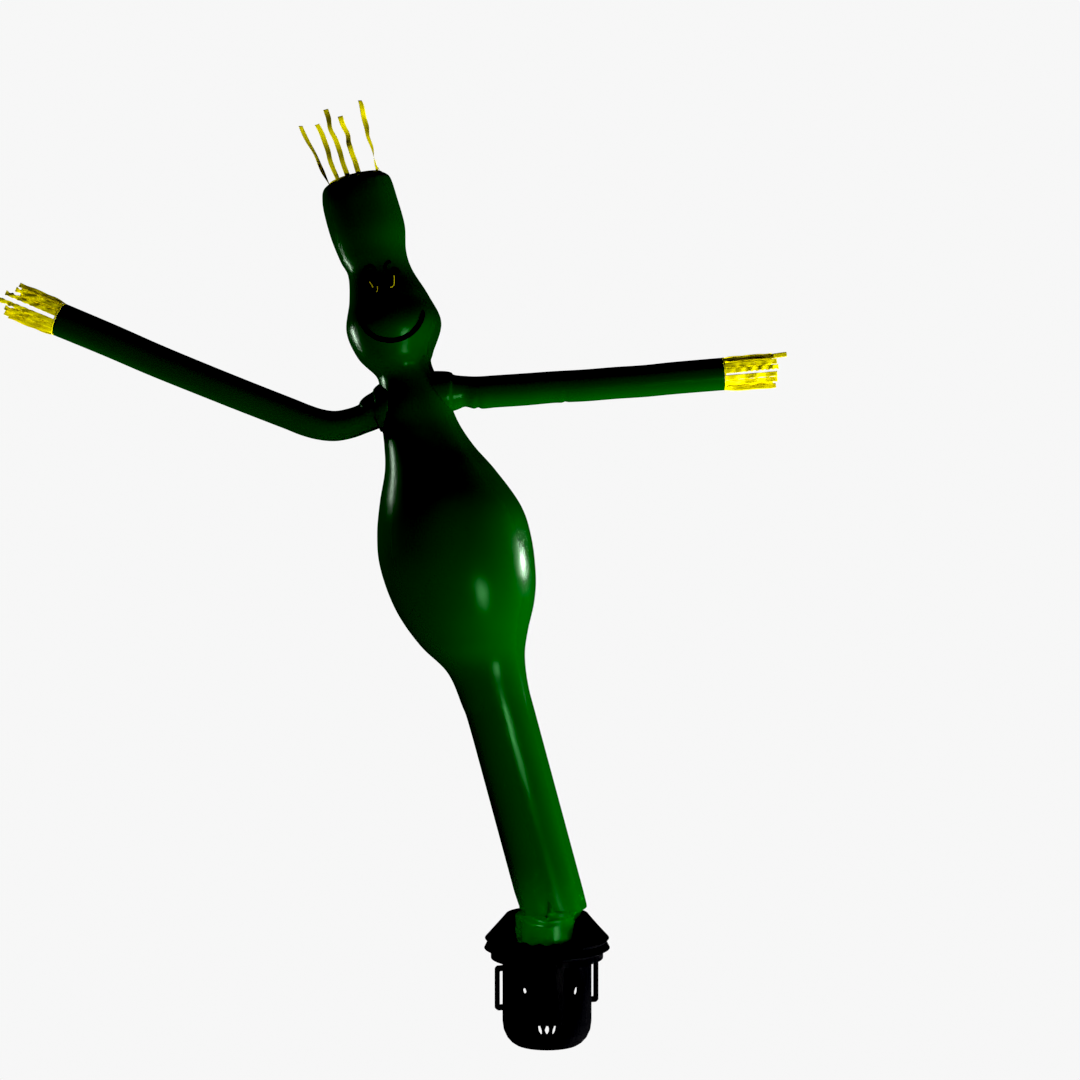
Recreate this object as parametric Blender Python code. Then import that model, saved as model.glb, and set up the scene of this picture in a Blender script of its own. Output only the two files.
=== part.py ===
"""Inflatable air dancer: a leaning nylon tube figure on the round black blower that fills it.

Metres, +Z up. The origin is the middle of the blower's foot, the figure stands in the
plane Y = 0, its face looks towards -Y and it leans towards -X.
"""
import math
from collections import namedtuple

import bpy
import bmesh
from mathutils import Vector

# Blower, from the foot up; radii are about the Z axis.
METAL = 0.004                  # wall of the pressed sheet
SEAT_GAP = 0.0003              # between pieces that rest on each other
FOOT_RADIUS = 0.175            # flat disc that stands on the ground
DRUM_RADIUS = 0.3115
BOWL_HEIGHT = 0.168            # the rounded lower part of the drum
DECK_Z = 0.724                 # top of the flange, on which the collar and the guard stand

SLOT_COUNT = 36                # columns round the drum, counted from the front
BOWL_SLOTS = (-2, -1, 0, 1, 2, 17, 18, 19)     # columns with an air inlet in the bowl
SLOT_HALF_ANGLE = math.radians(3.2)
SLOT_TIP_ANGLE = math.radians(1.2)
SLOT_FOOT_ANGLE = 68           # where on the bowl's curve a slot ends, in degrees
SLOT_TOP_Z = 0.200
VENT_BOTTOM_Z, VENT_TOP_Z = 0.295, 0.450
VENT_TAPER = 0.025             # height of a vent's narrowing ends
VENT_SLOTS = (-3, 4, 14, 21)   # columns with a tall vent

FLANGE_SEGMENTS = 48
FLANGE_RADIUS = 0.417          # outer edge of the deck
FLANGE_MIDDLE = (0.440, 0.679)     # radius and height of the widest ridge
FLANGE_SKIRT = (0.393, 0.6545, 0.610)  # radius, top and bottom of the band under it
FLANGE_INNER = 0.313           # the skirt's turned-in edge, round the drum
FLANGE_INNER_Z = 0.601

COLLAR_RADIUS = 0.2255         # outlet that carries the figure's cuff
COLLAR_TOP_Z = 0.850
OUTLET_RADIUS = 0.218          # hole in the deck under the collar

GUARD_RIM = (0.435, 0.7476)    # radius and height of the guard's flared lip
GUARD_TOP = (0.287, 0.9135)
GUARD_SLOT = 0.240             # half width of the guard's open front
GUARD_COLUMNS = 36

HANDLE_TURN = math.radians(21)     # the two handles, turned from the X axis
HANDLE_BOTTOM_Z, HANDLE_TOP_Z = 0.268, 0.575
HANDLE_OUTER, HANDLE_INNER = 0.383, 0.357
HANDLE_ARM = 0.036             # height of the arm at each end
HANDLE_WIDTH = 0.034
HANDLE_CORNER = 0.014
HANDLE_EDGE = 0.004

# Figure.
CLOTH = 0.002
SIDES = 24                     # of the body and of the collar inside its cuff
SCALLOP = 0.008                # rise and fall of the cuff's hem
ARM_SIDES = 16
ARMHOLE_RADIUS = 0.085
ARMHOLE_REACH = 0.16

Station = namedtuple("Station", "x z radius lean")

# name, x, z, radius, lean to the left in degrees, steps up to the next row
BODY_ROWS = (
    ("hem", 0.005, 0.735, 0.2280, 0.0, 1),
    ("cuff_top", 0.005, 0.889, 0.2280, 0.0, 1),
    ("bend", 0.024, 0.952, 0.2390, 8.0, 1),
    ("leg_foot", 0.026, 1.021, 0.2340, 15.2, 4),
    ("leg_top", -0.290, 2.190, 0.2345, 15.2, 1),
    ("thigh", -0.365, 2.447, 0.2430, 16.0, 2),
    ("belly_start", -0.427, 2.664, 0.2790, 12.5, 2),
    ("belly_low", -0.511, 2.846, 0.3820, 8.0, 2),
    ("belly_under", -0.574, 3.063, 0.4840, 3.0, 2),
    ("belly_full", -0.622, 3.308, 0.5440, -2.5, 1),
    ("belly_over", -0.648, 3.553, 0.5395, -1.0, 1),
    ("rib_low", -0.676, 3.780, 0.4930, -1.0, 2),
    ("rib_high", -0.749, 4.016, 0.3850, 1.0, 1),
    ("chest", -0.824, 4.183, 0.3135, 1.0, 1),
    ("armpit", -0.886, 4.333, 0.2695, 3.0, 1),
    ("shoulder", -0.938, 4.484, 0.2470, 9.0, 1),
    ("neck", -0.994, 4.697, 0.1950, 14.0, 1),
    ("chin", -1.061, 4.816, 0.2630, 4.0, 2),
    ("cheek", -1.071, 5.016, 0.3330, 6.0, 2),
    ("eyes", -1.105, 5.215, 0.2785, 5.0, 1),
    ("forehead", -1.166, 5.394, 0.2255, 6.5, 1),
    ("topknot_low", -1.216, 5.516, 0.2330, 10.0, 1),
    ("topknot", -1.254, 5.688, 0.2620, 10.5, 1),
    ("topknot_high", -1.306, 5.877, 0.2610, 11.5, 1),
    ("crown_side", -1.327, 5.976, 0.2500, 12.0, 1),
    ("crown_bend", -1.333, 6.023, 0.2350, 13.0, 1),
    ("crown", -1.335, 6.046, 0.2070, 13.7, 1),
)
CROWN_RISE = 0.006             # how far the middle of the crown stands up
FACE_ROWS = ("chin", "topknot")    # the stretch of the body that the face is sewn to

# x, z, radius, from inside the body out to the hand
LEFT_ARM = (
    (-1.100, 4.455, 0.185), (-1.169, 4.431, 0.155), (-1.218, 4.417, 0.128),
    (-1.274, 4.382, 0.104), (-1.379, 4.344, 0.104), (-1.484, 4.326, 0.106),
    (-1.589, 4.337, 0.108), (-1.694, 4.368, 0.110), (-1.799, 4.410, 0.110),
    (-2.114, 4.533, 0.111), (-2.429, 4.659, 0.112), (-2.744, 4.788, 0.114),
    (-3.059, 4.925, 0.116), (-3.409, 5.071, 0.118),
)
RIGHT_ARM = (
    (-0.880, 4.545, 0.165), (-0.700, 4.560, 0.150), (-0.650, 4.562, 0.127),
    (-0.574, 4.568, 0.108), (-0.469, 4.560, 0.114), (-0.364, 4.568, 0.113),
    (-0.154, 4.582, 0.113), (0.056, 4.599, 0.111), (0.266, 4.610, 0.112),
    (0.476, 4.627, 0.112), (0.686, 4.641, 0.112), (0.896, 4.662, 0.113),
    (1.232, 4.690, 0.114),
)

# Streamers: flat ribbons on a narrow band.
BAND_LENGTH = 0.012
BAND_STEP = math.radians(24)   # widest stretch of band between two sections
RIBBON_WIDTH = 0.036
RIBBON_STEPS = 20
CROWN_BAND_RADIUS = 0.190

# angle round the band from the front, length, waves along it, their height, then at the
# tip: spread outwards and drift across, then the turn about its own line and how far it
# swings to and fro about that turn, in degrees
HEAD_RIBBONS = (
    (-90, 0.455, 1.5, 0.006, 0.100, 0.00, 44, 10), (-38, 0.400, 1.1, 0.026, 0.030, -0.03, -20, 12),
    (-13, 0.487, 1.8, 0.020, 0.010, -0.04, 4, 12), (11, 0.407, 1.8, -0.022, 0.000, -0.03, 24, 12),
    (59, 0.505, 2.5, -0.008, 0.004, -0.01, -170, 8), (118, 0.120, 1.0, 0.008, 0.008, 0.02, 25, 0),
)
LEFT_RIBBONS = (
    (90, 0.350, 2, 0.003, 0.000, 0, 64, 10), (39, 0.335, 2.5, 0.003, 0.004, 0, 39, 52),
    (13, 0.384, 4, 0.003, 0.004, 0, 13, 50), (-16, 0.441, 4, -0.003, 0.006, 0, -16, 48),
    (-35, 0.356, 3, 0.003, 0.004, 0, -35, 48), (-56, 0.352, 2.5, 0.003, 0.006, 0, -80, 24),
    (-108, 0.345, 2, 0.003, 0.004, 0, 52, 14), (-136, 0.340, 3, 0.003, 0.004, 0, 44, 40),
    (-157, 0.355, 3, -0.003, 0.006, 0, 23, 40), (157, 0.350, 3, 0.003, 0.004, 0, -23, 40),
    (124, 0.345, 2, 0.003, 0.004, 0, -56, 40),
)
RIGHT_RIBBONS = (
    (-54, 0.350, 2, 0.002, 0.000, 0, -26, 8), (-25.5, 0.365, 3, 0.003, 0.004, 0, -31, 10),
    (-5.5, 0.372, 5, 0.003, 0.002, 0, -10, 44), (18.5, 0.360, 2.5, 0.003, 0.002, 0, 9, 30),
    (38, 0.360, 2.5, 0.003, 0.004, 0, 30, 30), (68.5, 0.352, 2, 0.002, 0.008, 0, 94, 8),
    (-135, 0.465, 2, 0.002, 0.043, 0, 62, 0), (-111, 0.350, 2, 0.003, 0.000, 0, 50, 16),
    (-159, 0.350, 3, 0.003, 0.004, 0, 21, 36), (141, 0.350, 3, 0.003, 0.004, 0, -39, 36),
    (112, 0.345, 2, 0.003, 0.004, 0, -50, 20),
)

# Face pieces, seen from the front: middle x and z, half width and half height of each eye.
FACE_CLOTH = 0.0015
EYES = {"eye_left": (-1.181, 5.270, 0.047, 0.085), "eye_right": (-1.064, 5.291, 0.047, 0.085)}
EYE_POINTS = 20
# arcs: middle x and z, radius, first and last angle, half width of the stroke
ARCS = {
    "brow_left": (-1.222, 5.366, 0.050, 30, 150, 0.008),
    "brow_right": (-1.070, 5.405, 0.046, 100, 215, 0.007),
    "mouth": (-1.075, 5.120, 0.225, 186, 356, 0.016),
}
ARC_STEPS = {"brow_left": 6, "brow_right": 6, "mouth": 14}
FACE_CUT_DEPTH = (-0.60, -0.04)    # the face is cut out of the front of the head only


def clear_scene():
    for item in list(bpy.data.objects):
        bpy.data.objects.remove(item)


def material(name, colour, roughness, metallic=0.0):
    found = bpy.data.materials.get(name)
    if found:
        return found
    made = bpy.data.materials.new(name)
    made.use_nodes = True
    shader = made.node_tree.nodes["Principled BSDF"]
    shader.inputs["Base Color"].default_value = (*colour, 1.0)
    shader.inputs["Roughness"].default_value = roughness
    shader.inputs["Metallic"].default_value = metallic
    return made


def green_nylon():
    return material("green_nylon", (0.0, 0.13, 0.012), 0.3)


def yellow_ribbon():
    return material("yellow_ribbon", (0.9, 0.82, 0.0), 0.45)


def black_cloth():
    return material("black_cloth", (0.004, 0.004, 0.004), 0.7)


def black_paint():
    return material("black_paint", (0.004, 0.004, 0.004), 0.5, 0.1)


def add_object(name, points, faces, finish):
    """One closed body from points and faces, with its faces turned outwards."""
    mesh = bpy.data.meshes.new(name)
    mesh.from_pydata([tuple(point) for point in points], [], faces)
    work = bmesh.new()
    work.from_mesh(mesh)
    bmesh.ops.recalc_face_normals(work, faces=work.faces)
    work.to_mesh(mesh)
    work.free()
    mesh.shade_smooth()
    mesh.set_sharp_from_angle(angle=math.radians(35))
    mesh.materials.append(finish)
    item = bpy.data.objects.new(name, mesh)
    bpy.context.scene.collection.objects.link(item)
    return item


def add_guide(name, points, faces):
    """A shape that only cuts or trims others and is no part of the object."""
    item = add_object(name, points, faces, black_cloth())
    item.hide_render = True
    item.display_type = "WIRE"
    return item


def cut(item, guide, operation="DIFFERENCE"):
    change = item.modifiers.new(guide.name, "BOOLEAN")
    change.object = guide
    change.operation = operation
    change.solver = "EXACT"


def bridge(first, second, faces):
    """Triangles between two rings of point numbers; each diagonal runs on round the ring."""
    count = len(first)
    for index in range(count):
        after = (index + 1) % count
        faces.append((first[index], first[after], second[after]))
        faces.append((first[index], second[after], second[index]))


def ribbon_step(first, second, faces):
    """Triangles between two sections of a ribbon; its two flat sides fold on one diagonal."""
    for index in range(4):
        after = (index + 1) % 4
        if index < 2:
            faces.append((first[index], first[after], second[after]))
            faces.append((first[index], second[after], second[index]))
        else:
            faces.append((first[index], first[after], second[index]))
            faces.append((first[after], second[after], second[index]))


def joined_rings(rings, close_start=True, close_end=True):
    """Points and faces of rings joined one after the other."""
    points = [point for ring in rings for point in ring]
    count = len(rings[0])
    numbers = [range(level * count, (level + 1) * count) for level in range(len(rings))]
    faces = []
    for lower, upper in zip(numbers, numbers[1:]):
        bridge(lower, upper, faces)
    if close_start:
        faces.append(tuple(numbers[0]))
    if close_end:
        faces.append(tuple(numbers[-1]))
    return points, faces


def smooth_value(before, start, end, after, t):
    """A value at t between start and end, on the curve through all four."""
    return 0.5 * (2 * start + (end - before) * t
                  + (2 * before - 5 * start + 4 * end - after) * t * t
                  + (3 * start - before - 3 * end + after) * t ** 3)


def body_stations():
    """The body's sections from hem to crown, and the number of each named one."""
    values = [Station(x, z, radius, math.radians(lean)) for _, x, z, radius, lean, _ in BODY_ROWS]
    stations = []
    numbers = {}
    for index, row in enumerate(BODY_ROWS):
        numbers[row[0]] = len(stations)
        stations.append(values[index])
        if index + 1 == len(BODY_ROWS):
            break
        around = [values[max(index - 1, 0)], values[index], values[index + 1],
                  values[min(index + 2, len(values) - 1)]]
        if row[0] == "leg_foot":
            around[0], around[3] = values[index], values[index + 1]
        for step in range(1, row[5]):
            t = step / row[5]
            stations.append(Station(*(smooth_value(*four, t) for four in zip(*around))))
    return stations, numbers


def section(station, grow=0.0, drop=0.0):
    """Ring of one section; its first point faces the front and it goes round to the right."""
    middle = Vector((station.x, 0.0, station.z))
    across = Vector((math.cos(station.lean), 0.0, math.sin(station.lean)))
    up = Vector((-math.sin(station.lean), 0.0, math.cos(station.lean)))
    front = Vector((0.0, -1.0, 0.0))
    radius = station.radius + grow
    ring = []
    for index in range(SIDES):
        angle = 2 * math.pi * index / SIDES
        ring.append(middle + radius * (front * math.cos(angle) + across * math.sin(angle))
                    - up * drop)
    return ring


def scalloped(ring):
    """The hem's ring, with every second point lower."""
    return [point + Vector((0, 0, SCALLOP if index % 2 else -SCALLOP))
            for index, point in enumerate(ring)]


def crown_point(station, drop):
    up = Vector((-math.sin(station.lean), 0.0, math.cos(station.lean)))
    return Vector((station.x, 0.0, station.z)) + up * (CROWN_RISE - drop)


def body_skin(stations):
    """The figure's skin, one cloth tube from the hem to the closed crown."""
    outer = [section(station) for station in stations]
    inner = [section(station, -CLOTH) for station in stations]
    inner[-1] = section(stations[-1], -CLOTH, CLOTH)
    outer[0] = scalloped(outer[0])
    inner[0] = scalloped(inner[0])
    points, faces = joined_rings(inner[::-1] + outer, False, False)
    last = len(points) - SIDES
    under, top = len(points), len(points) + 1
    points += [crown_point(stations[-1], CLOTH), crown_point(stations[-1], 0.0)]
    for index in range(SIDES):
        after = (index + 1) % SIDES
        faces.append((index, after, under))
        faces.append((last + index, last + after, top))
    return add_object("body_skin", points, faces, green_nylon())


def envelope(name, stations, grow):
    """The body's outer form, filled, grown by the gap that a neighbour keeps."""
    rings = [section(station, grow) for station in stations]
    points, faces = joined_rings(rings)
    return add_guide(name, points, faces)


def directions(path):
    """Unit tangent at each point of a path."""
    found = []
    for index in range(len(path)):
        ahead = path[min(index + 1, len(path) - 1)]
        behind = path[max(index - 1, 0)]
        found.append((ahead - behind).normalized())
    return found


def round_section(middle, tangent, radius, sides):
    """Ring round a path in the plane Y = 0."""
    front = Vector((0.0, -1.0, 0.0))
    across = tangent.cross(front)
    ring = []
    for index in range(sides):
        angle = 2 * math.pi * index / sides
        ring.append(middle + radius * (front * math.cos(angle) + across * math.sin(angle)))
    return ring


def sleeve(name, rows):
    """A cloth sleeve, open at the hand and trimmed where it is sewn to the body."""
    path = [Vector((x, 0.0, z)) for x, z, _ in rows]
    tangents = directions(path)
    outer = []
    inner = []
    for middle, tangent, row in zip(path, tangents, rows):
        outer.append(round_section(middle, tangent, row[2], ARM_SIDES))
        inner.append(round_section(middle, tangent, row[2] - CLOTH, ARM_SIDES))
    points, faces = joined_rings(outer + inner[::-1], False, False)
    first = range(ARM_SIDES)
    last = range(len(points) - ARM_SIDES, len(points))
    bridge(first, last, faces)
    return add_object(name, points, faces, green_nylon())


def armhole(name, row):
    """Filled round bar along X through the body's wall, where the air enters a sleeve."""
    rings = []
    for x in (row[0] - ARMHOLE_REACH, row[0] + ARMHOLE_REACH):
        rings.append(round_section(Vector((x, 0.0, row[1])), Vector((1, 0, 0)),
                                   ARMHOLE_RADIUS, ARM_SIDES))
    points, faces = joined_rings(rings)
    return add_guide(name, points, faces)


def band_angles(ribbons, half):
    """Angles of the band's sections, and which stretches of it carry a ribbon."""
    edges = []
    for number, row in enumerate(sorted(ribbons)):
        middle = math.radians(row[0])
        edges.append((middle - half, middle + half, row))
    angles = []
    carried = {}
    for index, (start, end, row) in enumerate(edges):
        carried[len(angles)] = row
        angles += [start, end]
        following = edges[(index + 1) % len(edges)][0]
        gap = (following - end) % (2 * math.pi)
        pieces = max(1, math.ceil(gap / BAND_STEP))
        angles += [end + gap * step / pieces for step in range(1, pieces)]
    return angles, carried


def ribbon_sections(row, middle, axis, outward, across, half_width, thickness):
    """Sections along one waving ribbon beyond its root."""
    _, length, waves, height, spread, drift, turn, swing = row
    sections = []
    for step in range(1, RIBBON_STEPS + 1):
        t = step / RIBBON_STEPS
        ripple = math.sin(2 * math.pi * waves * t) * min(1.0, 2 * t)
        reached = t if abs(turn) > 94 else min(1.0, 4 * t)
        angle = math.radians(turn * reached + swing * ripple)
        wide = across * math.cos(angle) + outward * math.sin(angle)
        thick = outward * math.cos(angle) - across * math.sin(angle)
        centre = middle + axis * (length * t) + outward * (spread * t) + across * (drift * t)
        centre = centre + thick * (height * ripple)
        sections.append([centre - wide * half_width + thick * thickness / 2,
                         centre + wide * half_width + thick * thickness / 2,
                         centre + wide * half_width - thick * thickness / 2,
                         centre - wide * half_width - thick * thickness / 2])
    return sections


def streamers(name, middle, axis, radius, ribbons):
    """A narrow round band with flat ribbons that grow from its far edge."""
    front = Vector((0.0, -1.0, 0.0))
    side = axis.cross(front)
    half = RIBBON_WIDTH / 2 / radius
    angles, carried = band_angles(ribbons, half)
    points = []
    for angle in angles:
        outward = front * math.cos(angle) + side * math.sin(angle)
        for reach, along in ((radius, 0), (radius, 1), (radius - CLOTH, 1), (radius - CLOTH, 0)):
            points.append(middle + outward * reach + axis * (BAND_LENGTH * along))
    faces = []
    for index in range(len(angles)):
        here, after = 4 * index, 4 * ((index + 1) % len(angles))
        for corner in (0, 2, 3):
            following = (corner + 1) % 4
            faces.append((here + corner, after + corner, after + following, here + following))
        if index not in carried:
            faces.append((here + 1, after + 1, after + 2, here + 2))
            continue
        angle = math.radians(carried[index][0])
        outward = front * math.cos(angle) + side * math.sin(angle)
        across = side * math.cos(angle) - front * math.sin(angle)
        root = middle + outward * (radius - CLOTH / 2) + axis * BAND_LENGTH
        last = (here + 1, after + 1, after + 2, here + 2)
        for ring in ribbon_sections(carried[index], root, axis, outward, across,
                                    RIBBON_WIDTH / 2, CLOTH):
            numbers = tuple(range(len(points), len(points) + 4))
            points += ring
            ribbon_step(last, numbers, faces)
            last = numbers
        faces.append(last)
    return add_object(name, points, faces, yellow_ribbon())


def hand_streamers(name, rows, ribbons):
    """Streamers sewn round the open end of a sleeve."""
    path = [Vector((x, 0.0, z)) for x, z, _ in rows[-2:]]
    axis = (path[1] - path[0]).normalized()
    return streamers(name, path[1] + axis * SEAT_GAP, axis, rows[-1][2], ribbons)


def head_streamers(stations):
    """Streamers on a band that lies on the rim of the crown."""
    crown = stations[-1]
    axis = Vector((-math.sin(crown.lean), 0.0, math.cos(crown.lean)))
    rise = CROWN_RISE * (1 - (CROWN_BAND_RADIUS - CLOTH) / crown.radius) + SEAT_GAP * 2
    middle = Vector((crown.x, 0.0, crown.z)) + axis * rise
    return streamers("head_streamers", middle, axis, CROWN_BAND_RADIUS, HEAD_RIBBONS)


def face_layer(stations):
    """The layer just outside the head's front, from which every face piece is cut."""
    inner = [section(station, SEAT_GAP) for station in stations]
    outer = [section(station, SEAT_GAP + FACE_CLOTH) for station in stations]
    points, faces = joined_rings(inner + outer[::-1], False, False)
    bridge(range(SIDES), range(len(points) - SIDES, len(points)), faces)
    return add_guide("face_layer", points, faces)


def face_piece(name, outline, layer):
    """An outline seen from the front, cut out of the face layer."""
    rings = [[Vector((x, y, z)) for x, z in outline] for y in FACE_CUT_DEPTH]
    points, faces = joined_rings(rings)
    item = add_object(name, points, faces, black_cloth())
    cut(item, layer, "INTERSECT")
    return item


def eye_outline(x, z, half_width, half_height):
    outline = []
    for index in range(EYE_POINTS):
        angle = 2 * math.pi * index / EYE_POINTS
        outline.append((x + half_width * math.cos(angle), z + half_height * math.sin(angle)))
    return outline


def arc_outline(x, z, radius, first, last, half_width, steps):
    angles = [math.radians(first + (last - first) * step / steps) for step in range(steps + 1)]
    outer = [(x + (radius + half_width) * math.cos(a), z + (radius + half_width) * math.sin(a))
             for a in angles]
    inner = [(x + (radius - half_width) * math.cos(a), z + (radius - half_width) * math.sin(a))
             for a in reversed(angles)]
    return outer + inner


def face(stations):
    layer = face_layer(stations)
    for name, row in EYES.items():
        face_piece(name, eye_outline(*row), layer)
    for name, row in ARCS.items():
        face_piece(name, arc_outline(*row, ARC_STEPS[name]), layer)


def at(radius, angle, z):
    """Point at an angle round the Z axis, counted from the front towards +X."""
    return Vector((radius * math.sin(angle), -radius * math.cos(angle), z))


def turned(name, profile, segments, finish):
    """A closed profile of radius and height, turned round the Z axis."""
    rings = []
    for index in range(segments):
        angle = 2 * math.pi * index / segments
        rings.append([at(radius, angle, z) for radius, z in profile])
    points, faces = joined_rings(rings, False, False)
    count = len(profile)
    last = range(len(points) - count, len(points))
    bridge(last, range(count), faces)
    return add_object(name, points, faces, finish)


def bowl(angle, wall):
    """Radius and height on the bowl's curve; 0 degrees is its top and 90 the foot's edge."""
    turn = math.radians(angle)
    return (FOOT_RADIUS + (DRUM_RADIUS - FOOT_RADIUS - wall) * math.cos(turn),
            BOWL_HEIGHT - (BOWL_HEIGHT - wall) * math.sin(turn))


def drum_rows():
    """Rows up the drum: outer and inner radius and height, half angle, slot or vent above."""
    rows = []
    for angle, half, above in ((90, SLOT_TIP_ANGLE, ""), (SLOT_FOOT_ANGLE, SLOT_TIP_ANGLE, "slot"),
                               (56, SLOT_HALF_ANGLE, "slot"), (40, SLOT_HALF_ANGLE, "slot"),
                               (20, SLOT_HALF_ANGLE, "slot"), (0, SLOT_HALF_ANGLE, "slot")):
        rows.append((bowl(angle, 0.0), bowl(angle, METAL), half, above))
    top = DECK_Z - METAL - SEAT_GAP
    for z, half, above in ((SLOT_TOP_Z, SLOT_TIP_ANGLE, ""),
                           (VENT_BOTTOM_Z, SLOT_TIP_ANGLE, "vent"),
                           (VENT_BOTTOM_Z + VENT_TAPER, SLOT_HALF_ANGLE, "vent"),
                           (VENT_TOP_Z - VENT_TAPER, SLOT_HALF_ANGLE, "vent"),
                           (VENT_TOP_Z, SLOT_TIP_ANGLE, ""), (top, SLOT_HALF_ANGLE, "")):
        rows.append(((DRUM_RADIUS, z), (DRUM_RADIUS - METAL, z), half, above))
    return rows


def blower_housing():
    """The drum with its bowl and flat foot, slotted front and back and open at the top."""
    rows = drum_rows()
    columns = 2 * SLOT_COUNT
    cut_out = {kind: {(2 * slot) % columns for slot in slots}
               for kind, slots in (("slot", BOWL_SLOTS), ("vent", VENT_SLOTS), ("", ()))}
    points = []
    for outside, inside, half, _ in rows:
        for radius, z in (outside, inside):
            for slot in range(SLOT_COUNT):
                middle = 2 * math.pi * slot / SLOT_COUNT
                points += [at(radius, middle - half, z), at(radius, middle + half, z)]

    def number(row, side, column):
        return (2 * row + side) * columns + column % columns

    def is_open(row, column):
        if row < 0 or row + 1 >= len(rows):
            return False
        return column % columns in cut_out[rows[row][3]]

    faces = []
    for row in range(len(rows) - 1):
        for column in range(columns):
            corners = ((row, column), (row, column + 1), (row + 1, column + 1), (row + 1, column))
            if not is_open(row, column):
                for side in (0, 1):
                    faces.append(tuple(number(r, side, c) for r, c in corners))
                continue
            beyond = ((row - 1, column), (row, column + 1), (row + 1, column), (row, column - 1))
            for edge, place in enumerate(beyond):
                if is_open(*place):
                    continue
                start, end = corners[edge], corners[(edge + 1) % 4]
                faces.append((number(start[0], 0, start[1]), number(end[0], 0, end[1]),
                              number(end[0], 1, end[1]), number(start[0], 1, start[1])))
    last = len(rows) - 1
    bridge([number(last, 0, c) for c in range(columns)],
           [number(last, 1, c) for c in range(columns)], faces)
    for side in (0, 1):
        faces.append(tuple(number(0, side, c) for c in range(columns)))
    return add_object("blower_housing", points, faces, black_paint())


def blower_flange():
    """Stepped cap over the drum: a deck with the outlet hole, a ridge and a lower band."""
    skirt_radius, skirt_top, skirt_bottom = FLANGE_SKIRT
    ridge_radius, ridge_z = FLANGE_MIDDLE
    profile = [(OUTLET_RADIUS, DECK_Z), (FLANGE_RADIUS, DECK_Z), (ridge_radius, ridge_z),
               (skirt_radius, skirt_top), (skirt_radius, skirt_bottom),
               (FLANGE_INNER, FLANGE_INNER_Z), (FLANGE_INNER, FLANGE_INNER_Z + METAL),
               (skirt_radius - METAL, skirt_bottom + METAL), (skirt_radius - METAL, skirt_top + METAL),
               (ridge_radius - 2 * METAL, ridge_z), (FLANGE_RADIUS - METAL, DECK_Z - METAL),
               (OUTLET_RADIUS, DECK_Z - METAL)]
    return turned("blower_flange", profile, FLANGE_SEGMENTS, black_paint())


def outlet_collar():
    """Short pipe on the deck, inside the figure's cuff."""
    low = DECK_Z + SEAT_GAP
    inside = COLLAR_RADIUS - METAL
    profile = [(COLLAR_RADIUS, COLLAR_TOP_Z), (COLLAR_RADIUS, low), (inside, low),
               (inside, COLLAR_TOP_Z)]
    collar = turned("outlet_collar", profile, SIDES, black_paint())
    collar.location.x = BODY_ROWS[0][1]
    return collar


def guard_edge(radius):
    """Angle at which the guard's open front begins, at a radius."""
    return math.asin(GUARD_SLOT / radius)


def outlet_guard():
    """Conical guard with a flared lip behind and beside the cuff, open at the front."""
    rows = ((FLANGE_RADIUS, DECK_Z + SEAT_GAP), GUARD_RIM, GUARD_TOP)
    wall = METAL * 1.25
    loop = list(rows) + [(radius - wall, z) for radius, z in reversed(rows)]
    rings = []
    for column in range(GUARD_COLUMNS + 1):
        share = column / GUARD_COLUMNS
        ring = []
        for radius, z in loop:
            edge = guard_edge(radius)
            ring.append(at(radius, edge + (2 * math.pi - 2 * edge) * share, z))
        rings.append(ring)
    points, faces = joined_rings(rings)
    return add_object("outlet_guard", points, faces, black_paint())


def carry_handle(name, turn):
    """Square-cornered carrying handle on the drum's side."""
    low, high = HANDLE_BOTTOM_Z, HANDLE_TOP_Z
    start = DRUM_RADIUS + SEAT_GAP
    outline = [(start, low), (HANDLE_OUTER - HANDLE_CORNER, low),
               (HANDLE_OUTER, low + HANDLE_CORNER), (HANDLE_OUTER, high - HANDLE_CORNER),
               (HANDLE_OUTER - HANDLE_CORNER, high), (start, high), (start, high - HANDLE_ARM),
               (HANDLE_INNER, high - HANDLE_ARM), (HANDLE_INNER, low + HANDLE_ARM),
               (start, low + HANDLE_ARM)]
    rings = [[Vector((radius, side * HANDLE_WIDTH / 2, z)) for radius, z in outline]
             for side in (-1, 1)]
    points, faces = joined_rings(rings)
    item = add_object(name, points, faces, black_paint())
    item.rotation_euler.z = turn
    edge = item.modifiers.new("edge", "BEVEL")
    edge.width = HANDLE_EDGE
    edge.segments = 1
    return item


def blower():
    blower_housing()
    blower_flange()
    outlet_collar()
    outlet_guard()
    carry_handle("handle_right", HANDLE_TURN)
    carry_handle("handle_left", HANDLE_TURN + math.pi)


def figure():
    stations, numbers = body_stations()
    body = body_skin(stations)
    form = envelope("body_form", stations, SEAT_GAP)
    for side, rows in (("left", LEFT_ARM), ("right", RIGHT_ARM)):
        arm = sleeve("arm_" + side, rows)
        cut(arm, form)
        cut(body, armhole("armhole_" + side, rows[1]))
    first, last = (numbers[name] for name in FACE_ROWS)
    face(stations[first:last + 1])
    head_streamers(stations)
    hand_streamers("streamers_left", LEFT_ARM, LEFT_RIBBONS)
    hand_streamers("streamers_right", RIGHT_ARM, RIGHT_RIBBONS)


clear_scene()
blower()
figure()
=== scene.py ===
# %% [markdown]
# An inflatable air dancer is a tall tube figure of coated nylon that a fan keeps upright.
# This one leans to the left over a round black blower, with a ribbon fringe on its crown
# and at both hands. The lesson dresses a imported model, so every piece below rides on the
# model's one body and stands for one of its solids. The model is loaded first.

# %% Load the imported model
import math
import bpy
import bmesh
import numpy as np
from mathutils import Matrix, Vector
from mathutils.bvhtree import BVHTree


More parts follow.
